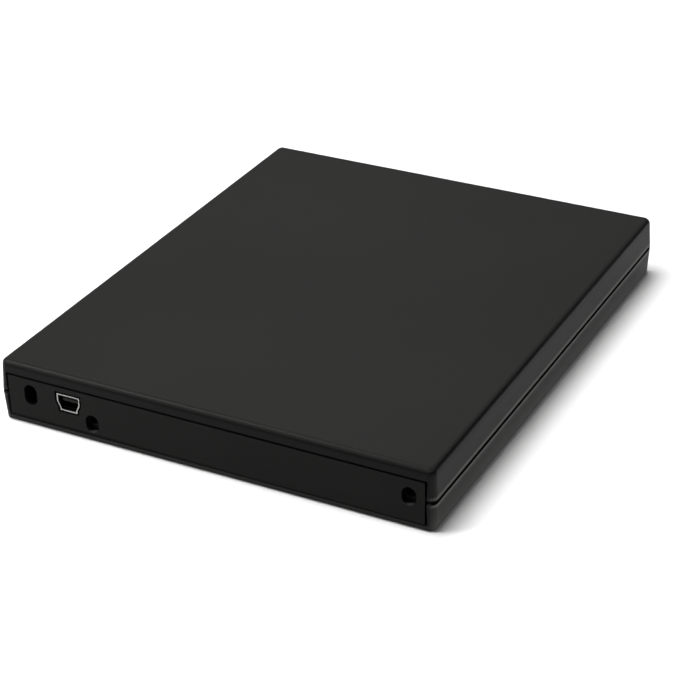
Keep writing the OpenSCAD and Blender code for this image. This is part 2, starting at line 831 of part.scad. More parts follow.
// Wound spring that pushes the drawer out
module eject_spring() {
    turns = 7;
    coil = 1.7;
    wire = 0.25;
    per = 14;
    sides = 6;
    n = turns * per;
    len = spring_y1 - spring_y0 - 2 * wire;
    rings = [for (i = [0 : n]) [for (k = [0 : sides - 1])
        let (a = 360 * i / per, b = 360 * k / sides, r = coil + wire * cos(b))
        [r * cos(a), wire + len * i / n + wire * sin(b), r * sin(a)]]];
    skin_faces = [for (i = [0 : n - 1], k = [0 : sides - 1])
        let (k2 = (k + 1) % sides)
        [i * sides + k, i * sides + k2, (i + 1) * sides + k2, (i + 1) * sides + k]];
    color(steel) translate([spring_x, spring_y0, spring_z])
        polyhedron(
            points = [for (ring = rings) each ring],
            faces = concat(skin_faces,
                [[for (k = [sides - 1 : -1 : 0]) k], [for (k = [0 : sides - 1]) n * sides + k]]));
}

// A sliding channel between case and drawer; s picks the side
module rail(s) {
    x = rail_x - 2.3;
    y0 = drive_y0 + 7;
    len = drive_len - 12.5;
    color(steel) mirror([s < 0 ? 1 : 0, 0, 0]) difference() {
        translate([x, y0, rail_z]) cube([2.3, len, rail_h]);
        translate([x - 1, y0 - 1, rail_z + rail_t])
            cube([3.3 - rail_t, len + 2, rail_h - 2 * rail_t]);
    }
}

module left_rail() { rail(-1); }

module right_rail() { rail(1); }

module eject_button() {
    z0 = mark_z - button_h / 2;
    color(black) union() {
        translate([button_x, bezel_y0 - 0.2, z0])
            round_face(button_w, button_h, 0.6, bezel_t - button_run);
        translate([button_x - button_w / 2 + 0.6, bezel_y1 - button_run - 0.5, z0 + 0.4])
            cube([button_w - 1.2, button_run + 0.7, button_h - 1.5]);
        translate([button_x - button_w / 2 - 0.9, bezel_y1 + 0.08, z0 + 0.4])
            cube([button_w + 1.8, 0.7, button_h - 1.5]);
        translate([button_x - 1.2, bezel_y1 + 0.5, z0 + 0.5])
            cube([2.4, 2.6 - button_run, 1.8]);
    }
}

module turntable() {
    color(dark) translate([0, disc_y, 0]) difference() {
        union() {
            translate([0, 0, frame_z + 0.4]) cylinder(r = 1, h = 4);
            translate([0, 0, frame_z + 3.2])
                cylinder(r = motor_r + 0.6, h = table_z + 0.2 - frame_z - 3.2);
            translate([0, 0, table_z]) cylinder(r = table_r, h = seat_z - 0.3 - table_z);
            translate([0, 0, table_z]) cylinder(r = hub_r - hub_relief, h = hub_foot_z - table_z);
            translate([0, 0, hub_foot_z]) cylinder(r = hub_r, h = seat_z + 1.5 - hub_foot_z);
            translate([0, 0, seat_z + 1.5])
                cylinder(r1 = hub_r, r2 = hub_r - 0.95, h = 0.7);
        }
        for (a = [90, 210, 330]) rotate([0, 0, a])
            translate([4.2, -claw_w / 2 - 0.15, claw_z - 0.12]) cube([6, claw_w + 0.3, claw_h + 0.24]);
    }
}

module turntable_pad() {
    color(black) translate([0, disc_y, seat_z - 0.3]) difference() {
        cylinder(r = table_r, h = 0.3);
        translate([0, 0, -1]) cylinder(r = 9.5, h = 3);
    }
}

// One sprung claw of the hub, at angle a
module claw(a) {
    color(white) translate([0, disc_y, claw_z]) rotate([0, 0, a]) intersection() {
        translate([5, -claw_w / 2, 0]) cube([4, claw_w, claw_h]);
        cylinder(r = hub_r + 0.2, h = 2);
    }
}

module hub_claw_a() { claw(90); }

module hub_claw_b() { claw(210); }

module hub_claw_c() { claw(330); }

module pickup_sled() {
    u = lens_in;
    color(dark) mech() difference() {
        union() {
            translate([u - 9, -19.1, sled_z]) cube([9.9, 38.2, sled_top - sled_z]);
            translate([u, -9.5, sled_z]) cube([8.5, 19, sled_top - sled_z]);
            translate([u - 6, 19, frame_top + 0.95]) cube([5, 6.6, sled_top - frame_top - 0.95]);
            for (v = [-5.5, 3.5])
                translate([u - 2, v, sled_top - 0.1]) cube([4, 2, 1.3]);
        }
        for (v = [-rod_v, rod_v])
            translate([0, v, rod_z]) rotate([0, 90, 0])
                cylinder(r = rod_r + run_gap, h = 60);
    }
}

module lens_holder() {
    color(white) mech() translate([lens_in, 0, lens_z]) difference() {
        cylinder(r = lens_r, h = 1);
        translate([0, 0, -1]) cylinder(r = 1.9, h = 3);
    }
}

module lens() {
    color(glass) mech() translate([lens_in, 0, lens_z + 0.2]) union() {
        cylinder(r = 1.9, h = 0.8);
        translate([0, 0, 0.8]) cylinder(r1 = 1.7, r2 = 1, h = 0.4);
    }
}

module lead_screw() {
    end = sled_end;
    color(steel) mech() translate([0, lead_v, lead_z]) rotate([0, 90, 0]) union() {
        translate([0, 0, 17.3]) cylinder(r = lead_r, h = end - 3.8 - 17.3);
        translate([0, 0, 15.1]) cylinder(r = 0.7, h = end - 1.6 - 15.1);
    }
}

module latch_lever() {
    color(white) translate([lever_x, lever_y, under_z + 0.5]) difference() {
        union() {
            cylinder(r = 2.6, h = 1);
            rotate([0, 0, -34]) translate([0, -0.9, 0]) cube([7.6, 1.8, 1]);
            rotate([0, 0, -34]) translate([5.8, -0.9, 0]) cube([1.8, 3, 1]);
            rotate([0, 0, 146]) translate([0, -0.9, 0]) cube([6.5, 1.8, 1]);
        }
        translate([0, 0, -1]) cylinder(r = 1.2 + run_gap, h = 3);
    }
}

top_cover();
bottom_cover();
rear_panel();
rear_screws();
rubber_feet();
bridge_board();
bridge_chips();
board_screws();
bridge_connector();
dc_jack();
usb_shell();
usb_tongue();
drive_pan();
drive_lid();
lid_screws();
main_board();
main_chips();
drive_socket();
left_guide();
right_guide();
latch_post();
flex_ribbon();
disc_tray();
tray_bezel();
light_pipe();
tray_board();
eject_switch();
pickup_cover();
cover_screws();
tray_shield();
mech_frame();
frame_dampers();
guide_rods();
sled_motor();
spindle_motor();
solenoid();
eject_spring();
left_rail();
right_rail();
eject_button();
turntable();
turntable_pad();
hub_claw_a();
hub_claw_b();
hub_claw_c();
pickup_sled();
lens_holder();
lens();
lead_screw();
latch_lever();
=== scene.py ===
"""Matt black slim disc drive in a flat case: finishes, small fittings, studio and camera."""

import json
import math

import bmesh
import bpy
from mathutils import Matrix, Vector


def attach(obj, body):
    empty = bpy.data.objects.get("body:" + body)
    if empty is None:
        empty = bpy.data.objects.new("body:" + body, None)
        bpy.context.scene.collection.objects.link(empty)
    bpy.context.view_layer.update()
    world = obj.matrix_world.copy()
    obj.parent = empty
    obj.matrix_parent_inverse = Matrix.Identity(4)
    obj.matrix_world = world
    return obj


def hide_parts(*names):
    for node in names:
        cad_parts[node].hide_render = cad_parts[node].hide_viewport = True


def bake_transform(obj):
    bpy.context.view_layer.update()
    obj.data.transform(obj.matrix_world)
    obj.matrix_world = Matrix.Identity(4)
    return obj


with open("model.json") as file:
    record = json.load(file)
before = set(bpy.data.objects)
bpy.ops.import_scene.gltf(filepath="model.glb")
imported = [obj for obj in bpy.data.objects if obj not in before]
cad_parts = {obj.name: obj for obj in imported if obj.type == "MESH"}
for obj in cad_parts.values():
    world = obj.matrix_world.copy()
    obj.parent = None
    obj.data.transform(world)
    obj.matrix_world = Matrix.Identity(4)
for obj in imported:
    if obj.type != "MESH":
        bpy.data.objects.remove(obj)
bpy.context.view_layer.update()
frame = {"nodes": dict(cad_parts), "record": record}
nodes = frame["nodes"]

MM = 0.001
UP = Vector((0, 0, 1))
WHITE = (1, 1, 1, 1)

# Places on the object that finishes and new pieces follow

DISC_CENTRE = Vector((0, -18.5, 0)) * MM
PICKUP_TURN = math.radians(230)
PICKUP_FRAME = Matrix.Translation(DISC_CENTRE) @ Matrix.Rotation(PICKUP_TURN, 4, "Z")
# Heights that the painted light and shade follow: the middle of the shaded band at the parting
# groove, the start of the top's rounding and the panel's foot
GROOVE_SHADE_MIDDLE = 9.65 * MM
TOP_ROUNDING = 17.2 * MM
PANEL_FOOT = 2.25 * MM
MAIN_BOARD_TOP = 5.8
BRIDGE_BOARD_TOP = 8.75
ROD_HEIGHT = 6.8
SOCKET_X = 46.4


# Camera, at the photograph's viewing angle

CAMERA_AZIMUTH = math.radians(207.566)
CAMERA_ELEVATION = math.radians(29.069)
CAMERA_ROLL = math.radians(1.022)
CAMERA_LENS = 107.36
CAMERA_SHIFT_RIGHT = 1.956 * MM
CAMERA_SHIFT_DOWN = 0.019 * MM
CAMERA_DISTANCE = 637.4 * MM


def place_camera():
    back = Vector((
        math.sin(CAMERA_AZIMUTH) * math.cos(CAMERA_ELEVATION),
        -math.cos(CAMERA_AZIMUTH) * math.cos(CAMERA_ELEVATION),
        math.sin(CAMERA_ELEVATION),
    ))
    level_right = (-back).cross(UP).normalized()
    level_down = (-back).cross(level_right)
    right = level_right * math.cos(CAMERA_ROLL) + level_down * math.sin(CAMERA_ROLL)
    down = level_down * math.cos(CAMERA_ROLL) - level_right * math.sin(CAMERA_ROLL)
    place = back * CAMERA_DISTANCE - right * CAMERA_SHIFT_RIGHT - down * CAMERA_SHIFT_DOWN
    lens = bpy.data.cameras.new("Photo camera")
    lens.lens = CAMERA_LENS
    lens.sensor_width = 36
    lens.sensor_fit = "HORIZONTAL"
    lens.clip_start = 0.01
    lens.clip_end = 100
    camera = bpy.data.objects.new("Photo camera", lens)
    turn = Matrix((right, -down, back)).transposed()
    camera.matrix_world = Matrix.Translation(place) @ turn.to_4x4()
    bpy.context.scene.collection.objects.link(camera)
    bpy.context.scene.camera = camera


place_camera()


# Node helpers

def add(tree, kind, **values):
    """A node with some of its input sockets set."""
    node = tree.nodes.new(kind)
    for name, value in values.items():
        node.inputs[name.replace("_", " ")].default_value = value
    return node


def feed(tree, socket, value):
    """Sets a socket to a plain number or colour, or links it to another socket."""
    if isinstance(value, (int, float, tuple)):
        socket.default_value = value
    else:
        tree.links.new(value, socket)


def object_place(tree):
    return tree.nodes.new("ShaderNodeTexCoord").outputs["Object"]


def along_axes(tree, vector):
    """The X, Y and Z parts of a vector socket."""
    node = tree.nodes.new("ShaderNodeSeparateXYZ")
    tree.links.new(vector, node.inputs[0])
    return [node.outputs[axis] for axis in "XYZ"]


def stretched(tree, place, scale):
    """Object coordinates, scaled apart along the three axes."""
    mapping = add(tree, "ShaderNodeMapping", Scale=scale)
    tree.links.new(place, mapping.inputs["Vector"])
    return mapping.outputs["Vector"]


def noise(tree, place, scale, detail=2.0, rough=0.5):
    node = add(tree, "ShaderNodeTexNoise", Detail=detail, Roughness=rough)
    feed(tree, node.inputs["Scale"], scale)
    tree.links.new(place, node.inputs["Vector"])
    return node.outputs[0]


def remap(tree, value, low, high, to_low=0.0, to_high=1.0):
    """A value taken from one span to another; the ends of a span may be sockets."""
    node = tree.nodes.new("ShaderNodeMapRange")
    tree.links.new(value, node.inputs["Value"])
    for name, end in (("From Min", low), ("From Max", high), ("To Min", to_low), ("To Max", to_high)):
        feed(tree, node.inputs[name], end)
    return node.outputs["Result"]


def combine(tree, operation, first, second=0.0):
    node = tree.nodes.new("ShaderNodeMath")
    node.operation = operation
    feed(tree, node.inputs[0], first)
    feed(tree, node.inputs[1], second)
    return node.outputs[0]


def times(tree, first, *others):
    for other in others:
        first = combine(tree, "MULTIPLY", first, other)
    return first


def larger(tree, first, second):
    return combine(tree, "MAXIMUM", first, second)


def blend_colours(tree, share, first, second):
    node = tree.nodes.new("ShaderNodeMix")
    node.data_type = "RGBA"
    tree.links.new(share, node.inputs["Factor"])
    feed(tree, node.inputs[6], first)
    feed(tree, node.inputs[7], second)
    return node.outputs[2]


def blend_surfaces(tree, share, first, second, output):
    """Mixes two shaders by a share and puts the result out as the surface."""
    mixed = tree.nodes.new("ShaderNodeMixShader")
    tree.links.new(share, mixed.inputs["Fac"])
    tree.links.new(first.outputs[0], mixed.inputs[1])
    tree.links.new(second.outputs[0], mixed.inputs[2])
    tree.links.new(mixed.outputs[0], tree.nodes[output].inputs["Surface"])


def new_group(name, inputs, outputs):
    group = bpy.data.node_groups.new(name, "ShaderNodeTree")
    for label, kind, value in inputs:
        socket = group.interface.new_socket(name=label, in_out="INPUT", socket_type=kind)
        socket.default_value = value
    for label, kind in outputs:
        group.interface.new_socket(name=label, in_out="OUTPUT", socket_type=kind)
    return group, group.nodes.new("NodeGroupInput"), group.nodes.new("NodeGroupOutput")


def put_out(group, end, *values):
    """Links values to the group's outputs, in their order."""
    for value, socket in zip(values, end.inputs):
        group.links.new(value, socket)


def place_group(tree, group, values):
    node = tree.nodes.new("ShaderNodeGroup")
    node.node_tree = group
    for label, value in values.items():
        node.inputs[label].default_value = value
    return node


# Studio: pale floor, white surroundings and soft lights, the strongest of them overhead

LIGHTS = {
    "Overhead light": {"toward": (0.2, 0.04, 0.98), "distance": 1.6, "wide": 0.9, "tall": 0.9,
                       "power": 41, "unseen_by": ("glossy",)},
    "Key light": {"toward": (0.57, 0.4, 0.72), "distance": 1.5, "wide": 0.32, "tall": 1.1,
                  "power": 11},
    "Sheen light": {"toward": (0.33, -0.62, 0.71), "distance": 1.6, "wide": 0.9, "tall": 0.8,
                    "power": 5.2},
    "Front sheen light": {"toward": (-0.1, 0.75, 0.65), "distance": 1.6, "wide": 1.0, "tall": 1.0,
                          "power": 5, "unseen_by": ("diffuse",)},
    "Low side light": {"toward": (-1.0, -0.15, 0.085), "distance": 1.2, "wide": 0.9, "tall": 0.14,
                       "power": 15, "unseen_by": ("glossy",)},
    "Left light": {"toward": (0.62, 0.75, 0.28), "distance": 0.4, "wide": 0.12, "tall": 0.12,
                   "power": 0.95, "unseen_by": ("glossy",)},
}
ROOM_LIGHT = 0.05
ROOM_SHEEN = 0.22
FLOOR_HALF = 12
FLOOR_TONE = (0.62, 0.62, 0.62, 1)
FLOOR_ROUGHNESS = 0.95
FLOOR_FADES_FROM = 0.22
FLOOR_WHITE_FROM = 0.5


def soft_light(name, toward, distance, wide, tall, power, unseen_by=()):
    lamp = bpy.data.lights.new(name, "AREA")
    lamp.shape = "ELLIPSE"
    lamp.size = wide
    lamp.size_y = tall
    lamp.energy = power
    light = bpy.data.objects.new(name, lamp)
    direction = Vector(toward).normalized()
    turn = direction.to_track_quat("Z", "Y")
    light.matrix_world = Matrix.Translation(direction * distance) @ turn.to_matrix().to_4x4()
    light.visible_diffuse = "diffuse" not in unseen_by
    light.visible_glossy = "glossy" not in unseen_by
    bpy.context.scene.collection.objects.link(light)


def make_room():
    """White surroundings that give little light of their own, and some sheen on bare metal."""
    room = bpy.data.worlds.new("Studio room")
    room.use_nodes = True
    tree = room.node_tree
    dim = tree.nodes["Background"]
    dim.inputs["Color"].default_value = WHITE
    path = tree.nodes.new("ShaderNodeLightPath")
    strength = remap(tree, path.outputs["Is Glossy Ray"], 0.0, 1.0, ROOM_LIGHT, ROOM_SHEEN)
    tree.links.new(strength, dim.inputs["Strength"])
    pale = add(tree, "ShaderNodeBackground", Color=WHITE, Strength=1.0)
    blend_surfaces(tree, path.outputs["Is Camera Ray"], dim, pale, "World Output")
    return room


def make_studio():
    for name, light in LIGHTS.items():
        soft_light(name, **light)
    scene = bpy.context.scene
    scene.world = make_room()
    scene.view_settings.view_transform = "Standard"
    scene.view_settings.look = "None"


def make_floor():
    """Pale paper that stays white out to the horizon."""
    form = bmesh.new()
    bmesh.ops.create_grid(form, x_segments=1, y_segments=1, size=FLOOR_HALF)
    mesh = bpy.data.meshes.new("Studio floor")
    form.to_mesh(mesh)
    form.free()
    floor = bpy.data.objects.new("Studio_floor", mesh)
    bpy.context.scene.collection.objects.link(floor)
    paper = bpy.data.materials.new("Pale paper")
    paper.use_nodes = True
    tree = paper.node_tree
    sheet = tree.nodes["Principled BSDF"]
    sheet.inputs["Base Color"].default_value = FLOOR_TONE
    sheet.inputs["Roughness"].default_value = FLOOR_ROUGHNESS
    sheet.inputs["Specular IOR Level"].default_value = 0
    reach = tree.nodes.new("ShaderNodeVectorMath")
    reach.operation = "LENGTH"
    tree.links.new(object_place(tree), reach.inputs[0])
    far = remap(tree, reach.outputs["Value"], FLOOR_FADES_FROM, FLOOR_WHITE_FROM)
    seen = tree.nodes.new("ShaderNodeLightPath").outputs["Is Camera Ray"]
    white = add(tree, "ShaderNodeEmission", Color=WHITE, Strength=1.0)
    blend_surfaces(tree, times(tree, far, seen), sheet, white, "Material Output")
    mesh.materials.append(paper)


make_studio()
make_floor()


# Patterns, dust and painted light and shade that the finishes share

FLOAT = "NodeSocketFloat"
COLOUR = "NodeSocketColor"
GREY = (0.5, 0.5, 0.5, 1)
LAYER_OUT = (("Color", COLOUR), ("Roughness", FLOAT))
FINISH_OUT = (*LAYER_OUT, ("Height", FLOAT))
DUST_GREY = (0.3, 0.29, 0.27, 1)
# Colours of painted highlights (the greys) and painted shade (the blacks) for the two groups below
PAINTED_HIGHLIGHT_GREY = (0.06, 0.06, 0.058, 1)
PAINTED_SHADE_BLACK = (0.0006, 0.0006, 0.0006, 1)
GROOVE_SHADE_BLACK = (0.0012, 0.0012, 0.0011, 1)
SUNK_SHADE_BLACK = (0.001, 0.001, 0.001, 1)
PAINTED_GLINT_GREY = (0.032, 0.032, 0.031, 1)


def moulded_grain():
    """Fine spark-eroded grain of moulded plastic, with faint broad cloudiness."""
    group, start, end = new_group("Moulded grain", (
        ("Dark", COLOUR, GREY), ("Light", COLOUR, GREY), ("Grain", FLOAT, 3000),
        ("Smooth", FLOAT, 0.5), ("Rough", FLOAT, 0.6)), FINISH_OUT)
    place = object_place(group)
    grain = noise(group, place, start.outputs["Grain"], 3.0, 0.6)
    cloud = noise(group, place, 14.0, 3.0, 0.55)
    mixed = combine(group, "ADD", times(group, grain, 0.6), times(group, cloud, 0.4))
    colour = blend_colours(group, remap(group, mixed, 0.32, 0.68),
                           start.outputs["Dark"], start.outputs["Light"])
    rough = remap(group, grain, 0.3, 0.7, start.outputs["Smooth"], start.outputs["Rough"])
    put_out(group, end, colour, rough, grain)
    return group


def drawn_metal():
    """Rolled or turned metal: fine lines one way, with soft smudges."""
    group, start, end = new_group("Drawn metal", (
        ("Dark", COLOUR, GREY), ("Light", COLOUR, GREY), ("Lines", FLOAT, 2400),
        ("Smooth", FLOAT, 0.2), ("Rough", FLOAT, 0.4)), FINISH_OUT)
    place = object_place(group)
    lines = noise(group, stretched(group, place, (1.0, 0.03, 1.0)), start.outputs["Lines"])
    smudge = noise(group, place, 90.0, 4.0, 0.6)
    colour = blend_colours(group, remap(group, smudge, 0.35, 0.65),
                           start.outputs["Dark"], start.outputs["Light"])
    mixed = combine(group, "ADD", times(group, lines, 0.5), times(group, smudge, 0.5))
    rough = remap(group, mixed, 0.35, 0.65, start.outputs["Smooth"], start.outputs["Rough"])
    put_out(group, end, colour, rough, lines)
    return group


def settled_dust():
    """Sparse pale specks that lie on faces that look up."""
    group, start, end = new_group("Settled dust", (
        ("Color", COLOUR, GREY), ("Amount", FLOAT, 0.1)), (("Color", COLOUR),))
    place = object_place(group)
    normal = group.nodes.new("ShaderNodeNewGeometry").outputs["Normal"]
    looks_up = remap(group, along_axes(group, normal)[2], 0.6, 1.0)
    speck = remap(group, noise(group, place, 1500.0, 2.0, 0.7), 0.62, 0.8)
    patch = remap(group, noise(group, place, 22.0), 0.4, 0.7, 0.2, 1.0)
    share = times(group, speck, patch, looks_up, start.outputs["Amount"])
    put_out(group, end, blend_colours(group, share, start.outputs["Color"], DUST_GREY))
    return group


def painted_cover_light_and_shade():
    """Painted light and shade on the cover: painted shade on the rounding and the rear faces, in the
    parting groove and along the foot; painted highlights beside the groove and painted light on the
    lower sides. The rounding is also a little smoother."""
    group, start, end = new_group("Cover painted light and shade", (
        ("Color", COLOUR, GREY), ("Roughness", FLOAT, 0.5)), LAYER_OUT)
    spot = group.nodes.new("ShaderNodeTexCoord")
    facing_x, facing_y, facing_z = along_axes(group, spot.outputs["Normal"])
    height = along_axes(group, spot.outputs["Object"])[2]
    sideways = combine(group, "ABSOLUTE", facing_x)

    # Painted shade: the rounding between the top and the sides, and the rear faces above the panel's
    # foot, darkened
    off_side = remap(group, facing_z, 0.04, 0.15)
    crest = combine(group, "ADD", facing_z, times(group, larger(group, facing_y, 0.0), 0.5))
    off_top = remap(group, crest, 0.72, 0.9, 1.0, 0.0)
    high_up = remap(group, height, TOP_ROUNDING, TOP_ROUNDING + 0.9 * MM, 0.0, 0.9)
    rear = remap(group, facing_y, 0.85, 0.98, 0.0, 0.66)
    over_lip = remap(group, height, PANEL_FOOT - 0.45 * MM, PANEL_FOOT + 0.35 * MM, 0.4, 1.0)
    painted_shade_share = times(group, larger(group, off_side, high_up), off_top)
    painted_shade_share = larger(group, painted_shade_share, times(group, rear, over_lip))

    # Painted shade in a band along the parting groove, and a painted contact shadow along the foot;
    # both also make the surface rough
    away = combine(group, "ABSOLUTE", combine(group, "SUBTRACT", height, GROOVE_SHADE_MIDDLE))
    groove = remap(group, away, 0.5 * MM, 0.7 * MM, 1.0, 0.0)
    foot_shadow = remap(group, height, 0.5 * MM, 0.9 * MM, 0.85, 0.0)
    not_under = remap(group, facing_z, -0.7, -0.3)
    groove_and_foot_shade = larger(group, groove, times(group, foot_shadow, not_under))

    # Painted highlights in bands along both sides of the groove, and painted light on the lower part
    # of the faces that look sideways
    groove_edge_highlight = times(group, remap(group, away, 0.65 * MM, 0.9 * MM),
                      remap(group, away, 1.2 * MM, 1.8 * MM, 1.0, 0.0),
                      remap(group, sideways, 0.0, 1.0, 0.25, 0.78))
    lower_side_light = times(group, remap(group, height, 0.5 * MM, 6 * MM, 0.42, 0.0), sideways)
    painted_light_share = larger(group, groove_edge_highlight, lower_side_light)

    colour = blend_colours(group, painted_light_share, start.outputs["Color"], PAINTED_HIGHLIGHT_GREY)
    colour = blend_colours(group, times(group, painted_shade_share, 0.96), colour, PAINTED_SHADE_BLACK)
    colour = blend_colours(group, groove_and_foot_shade, colour, GROOVE_SHADE_BLACK)
    rounding = times(group, off_side, remap(group, facing_z, 0.9, 0.99, 1.0, 0.0))
    rough = combine(group, "SUBTRACT", start.outputs["Roughness"], times(group, rounding, 0.2))
    put_out(group, end, colour, larger(group, rough, groove_and_foot_shade))
    return group


def sunk_shade_and_glint():
    """Painted shade in a sunk opening and along the panel's foot; a painted highlight on a screw's
    lower ring.
    """
    group, start, end = new_group("Sunk shade and glint", (
        ("Color", COLOUR, GREY), ("Roughness", FLOAT, 0.5), ("Inner", FLOAT, 0.084),
        ("Outer", FLOAT, 0.085)), LAYER_OUT)
    spot = group.nodes.new("ShaderNodeTexCoord")
    x, y, z = along_axes(group, spot.outputs["Object"])
    facing_up = along_axes(group, spot.outputs["Normal"])[2]
    # Painted shade: darker deeper into the opening
    out_of_depth = remap(group, y, start.outputs["Inner"], start.outputs["Outer"])
    # Painted highlight on the upward-facing lower wall of the screw ring
    screw_ring_highlight = times(group, remap(group, facing_up, 0.8, 0.97),
                   remap(group, x, 41.6 * MM, 42 * MM, 1.0, 0.0),
                   remap(group, z, 12 * MM, 13 * MM, 1.0, 0.0))
    # Painted shade along the panel's foot, stronger towards +X
    panel_foot_shade = times(group, remap(group, z, PANEL_FOOT + 0.35 * MM, PANEL_FOOT + 0.7 * MM, 1.0, 0.0),
                 remap(group, x, -20 * MM, 40 * MM, 0.15, 1.0))
    colour = blend_colours(group, out_of_depth, SUNK_SHADE_BLACK, start.outputs["Color"])
    colour = blend_colours(group, screw_ring_highlight, colour, PAINTED_GLINT_GREY)
    colour = blend_colours(group, panel_foot_shade, colour, PAINTED_SHADE_BLACK)
    put_out(group, end, colour, start.outputs["Roughness"])
    return group


def printed_board():
    """Solder mask over copper tracks and a patchy ground area."""
    group, start, end = new_group("Printed board", (
        ("Mask", COLOUR, GREY), ("Track", COLOUR, GREY)), FINISH_OUT)
    place = object_place(group)
    tracks = add(group, "ShaderNodeTexBrick", Scale=420.0, Mortar_Size=0.06, Brick_Width=2.6,
                 Row_Height=0.45)
    tracks.offset = 0.5
    group.links.new(place, tracks.inputs["Vector"])
    ground = remap(group, noise(group, place, 120.0), 0.48, 0.52, 0.0, 0.35)
    share = larger(group, tracks.outputs["Fac"], ground)
    colour = blend_colours(group, share, start.outputs["Mask"], start.outputs["Track"])
    rough = remap(group, noise(group, place, 700.0), 0.3, 0.7, 0.24, 0.42)
    put_out(group, end, colour, rough, share)
    return group


def ribbon_stripes():
    """Parallel copper lines under a thin clear film."""
    group, start, end = new_group("Ribbon stripes", (
        ("Film", COLOUR, GREY), ("Copper", COLOUR, GREY), ("Lines", FLOAT, 160)), FINISH_OUT)
    place = object_place(group)
    bands = group.nodes.new("ShaderNodeTexWave")
    bands.bands_direction = "X"
    group.links.new(place, bands.inputs["Vector"])
    group.links.new(start.outputs["Lines"], bands.inputs["Scale"])
    share = remap(group, bands.outputs["Fac"], 0.35, 0.65)
    colour = blend_colours(group, share, start.outputs["Film"], start.outputs["Copper"])
    rough = remap(group, noise(group, place, 400.0), 0.3, 0.7, 0.25, 0.4)
    put_out(group, end, colour, rough, share)
    return group


GRAIN = moulded_grain()
METAL = drawn_metal()
DUST = settled_dust()
# Painted light and shade on the covers
COVER_LIGHT_AND_SHADE = painted_cover_light_and_shade()
# Painted shade and a painted highlight in sunk openings
SUNK_SHADE_AND_GLINT = sunk_shade_and_glint()
BOARD = printed_board()
STRIPES = ribbon_stripes()


# Finishes, one to each material slot

RELIEF_DEPTH = 0.05 * MM


def new_finish(name, group, values, bump, dust=0.0, over=None, **sockets):
    """A material whose colour, roughness and relief come from one of the groups.

    Over is a second group, with its values, that changes the colour and the roughness.
    """
    material = bpy.data.materials.new(name)
    material.use_nodes = True
    tree = material.node_tree
    surface = tree.nodes["Principled BSDF"]
    for label, value in sockets.items():
        surface.inputs[label.replace("_", " ")].default_value = value
    pattern = place_group(tree, group, values)
    colour = pattern.outputs["Color"]
    rough = pattern.outputs["Roughness"]
    if over:
        layer = place_group(tree, *over)
        tree.links.new(colour, layer.inputs["Color"])
        tree.links.new(rough, layer.inputs["Roughness"])
        colour = layer.outputs["Color"]
        rough = layer.outputs["Roughness"]
    if dust:
        specks = place_group(tree, DUST, {"Amount": dust})
        tree.links.new(colour, specks.inputs["Color"])
        colour = specks.outputs["Color"]
    tree.links.new(colour, surface.inputs["Base Color"])
    tree.links.new(rough, surface.inputs["Roughness"])
    relief = add(tree, "ShaderNodeBump", Strength=bump, Distance=RELIEF_DEPTH)
    tree.links.new(pattern.outputs["Height"], relief.inputs["Height"])
    tree.links.new(relief.outputs["Normal"], surface.inputs["Normal"])
    return material


def shades(tone, darker, lighter):
    """The darkest and the lightest colour round a tone."""
    return {
        "Dark": (*(part * (1 - darker) for part in tone), 1),
        "Light": (*(min(1, part * (1 + lighter)) for part in tone), 1),
    }


def plastic(name, tone, grain, smooth, rough, bump, spread=0.12, dust=0.0, over=None, **sockets):
    """Moulded plastic round one tone, a little lighter and darker over its grain."""
    values = {**shades(tone, spread, spread), "Grain": grain, "Smooth": smooth, "Rough": rough}
    return new_finish(name, GRAIN, values, bump, dust, over, **sockets)


def metal(name, tone, lines, smooth, rough, bump, spread=0.1, over=None):
    values = {**shades(tone, spread, spread), "Lines": lines, "Smooth": smooth, "Rough": rough}
    return new_finish(name, METAL, values, bump, 0.0, over, Metallic=1.0)


def clear(name, tone, smooth, rough, index):
    """Clear plastic or glass with a faint flow pattern in its polish."""
    values = {**shades(tone, 0.03, 0.0), "Grain": 300, "Smooth": smooth, "Rough": rough}
    return new_finish(name, GRAIN, values, 0.01, Transmission_Weight=1.0, IOR=index)


